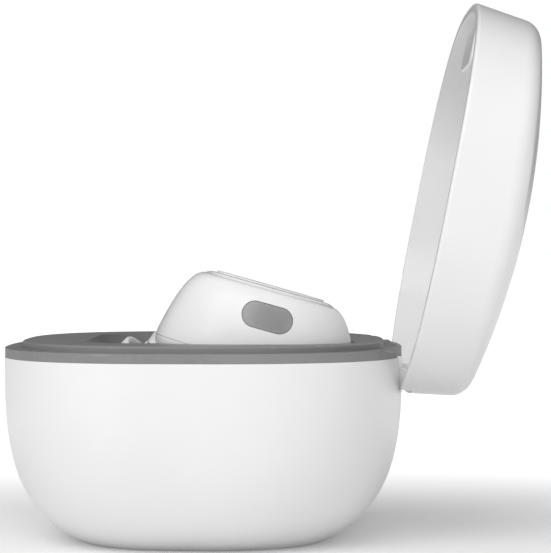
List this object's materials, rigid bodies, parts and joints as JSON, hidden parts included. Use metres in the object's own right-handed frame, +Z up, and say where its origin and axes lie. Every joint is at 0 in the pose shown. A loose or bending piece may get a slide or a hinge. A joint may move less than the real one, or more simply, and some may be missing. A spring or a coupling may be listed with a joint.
{
  "type": "wireless earbuds case",
  "caption": "Pebble-shaped charging case with a hinged domed lid, a grey tray and two wireless earbuds seated nose-high in its pockets.",
  "frame": {"origin": "centre of the flat foot, on the surface that the case stands on", "axes": "+X to the right side of the case, -Y to the front where the lid opens, +Y to the hinge, +Z up"},
  "size_m": [0.0621, 0.0617, 0.0616],
  "materials": {
    "white_gloss_plastic": "polished white moulding",
    "white_satin_plastic": "satin white plate",
    "grey_matte_plastic": "fine matte texture",
    "grey_window": "smoked, semi-gloss",
    "white_silicone": "soft silicone",
    "steel": "bright",
    "steel_mesh": "woven mesh",
    "gilt_contact": "gilt",
    "battery_wrap": "foil pouch",
    "circuit_board": "solder mask",
    "black_plastic": "moulded",
    "magnet": "nickel plated",
    "clear_lens": "clear"
  },
  "bodies": {
    "base": {"base_shell": "white_gloss_plastic", "tray": "grey_matte_plastic", "hinge_bracket": "grey_matte_plastic", "hinge_pin": "steel", "battery": "battery_wrap", "main_board": "circuit_board", "board_screws": "steel", "board_chips": "black_plastic", "usb_socket": "steel", "usb_tongue": "black_plastic", "indicator_light_pipe": "clear_lens", "pin_barrels": "gilt_contact", "seat_magnets": "magnet", "base_latch_magnet": "magnet"},
    "lid": {"lid_shell": "white_gloss_plastic", "lid_magnet_holder": "white_gloss_plastic", "lid_magnet": "magnet", "hinge_arms": "white_gloss_plastic"},
    "right_earbud": {"right_outer_housing": "white_gloss_plastic", "right_inner_housing": "white_gloss_plastic", "right_touch_plate": "white_satin_plastic", "right_side_window": "grey_window", "right_ear_tip": "white_silicone", "right_nozzle_mesh": "steel_mesh", "right_charge_pads": "gilt_contact", "right_coin_cell": "steel", "right_circuit_board": "circuit_board", "right_speaker_driver": "black_plastic", "right_seat_magnet": "magnet"},
    "left_earbud": {"left_outer_housing": "white_gloss_plastic", "left_inner_housing": "white_gloss_plastic", "left_touch_plate": "white_satin_plastic", "left_side_window": "grey_window", "left_ear_tip": "white_silicone", "left_nozzle_mesh": "steel_mesh", "left_charge_pads": "gilt_contact", "left_coin_cell": "steel", "left_circuit_board": "circuit_board", "left_speaker_driver": "black_plastic", "left_seat_magnet": "magnet"},
    "charge_pin_right_outer": {"charge_pin_right_outer": "gilt_contact"},
    "charge_pin_right_inner": {"charge_pin_right_inner": "gilt_contact"},
    "charge_pin_left_inner": {"charge_pin_left_inner": "gilt_contact"},
    "charge_pin_left_outer": {"charge_pin_left_outer": "gilt_contact"}
  },
  "joints": [
    {"name": "lid_hinge", "type": "hinge", "parent": "base", "child": "lid", "pos_m": [0, 0.0203, 0.0197], "axis": [-1, 0, 0], "range_deg": [-101.2, 0]},
    {"name": "right_earbud_lift", "type": "slide", "parent": "base", "child": "right_earbud", "axis": [0, 0, 1], "range_m": [0, 0.025]},
    {"name": "left_earbud_lift", "type": "slide", "parent": "base", "child": "left_earbud", "axis": [0, 0, 1], "range_m": [0, 0.025]},
    {"name": "pin_travel_right_outer", "type": "slide", "parent": "base", "child": "charge_pin_right_outer", "axis": [0, 0, 1], "range_m": [-0.0006, 0], "stiffness_N_per_m": 300, "springref_m": 0.0003},
    {"name": "pin_travel_right_inner", "type": "slide", "parent": "base", "child": "charge_pin_right_inner", "axis": [0, 0, 1], "range_m": [-0.0006, 0], "stiffness_N_per_m": 300, "springref_m": 0.0003},
    {"name": "pin_travel_left_inner", "type": "slide", "parent": "base", "child": "charge_pin_left_inner", "axis": [0, 0, 1], "range_m": [-0.0006, 0], "stiffness_N_per_m": 300, "springref_m": 0.0003},
    {"name": "pin_travel_left_outer", "type": "slide", "parent": "base", "child": "charge_pin_left_outer", "axis": [0, 0, 1], "range_m": [-0.0006, 0], "stiffness_N_per_m": 300, "springref_m": 0.0003}
  ]
}
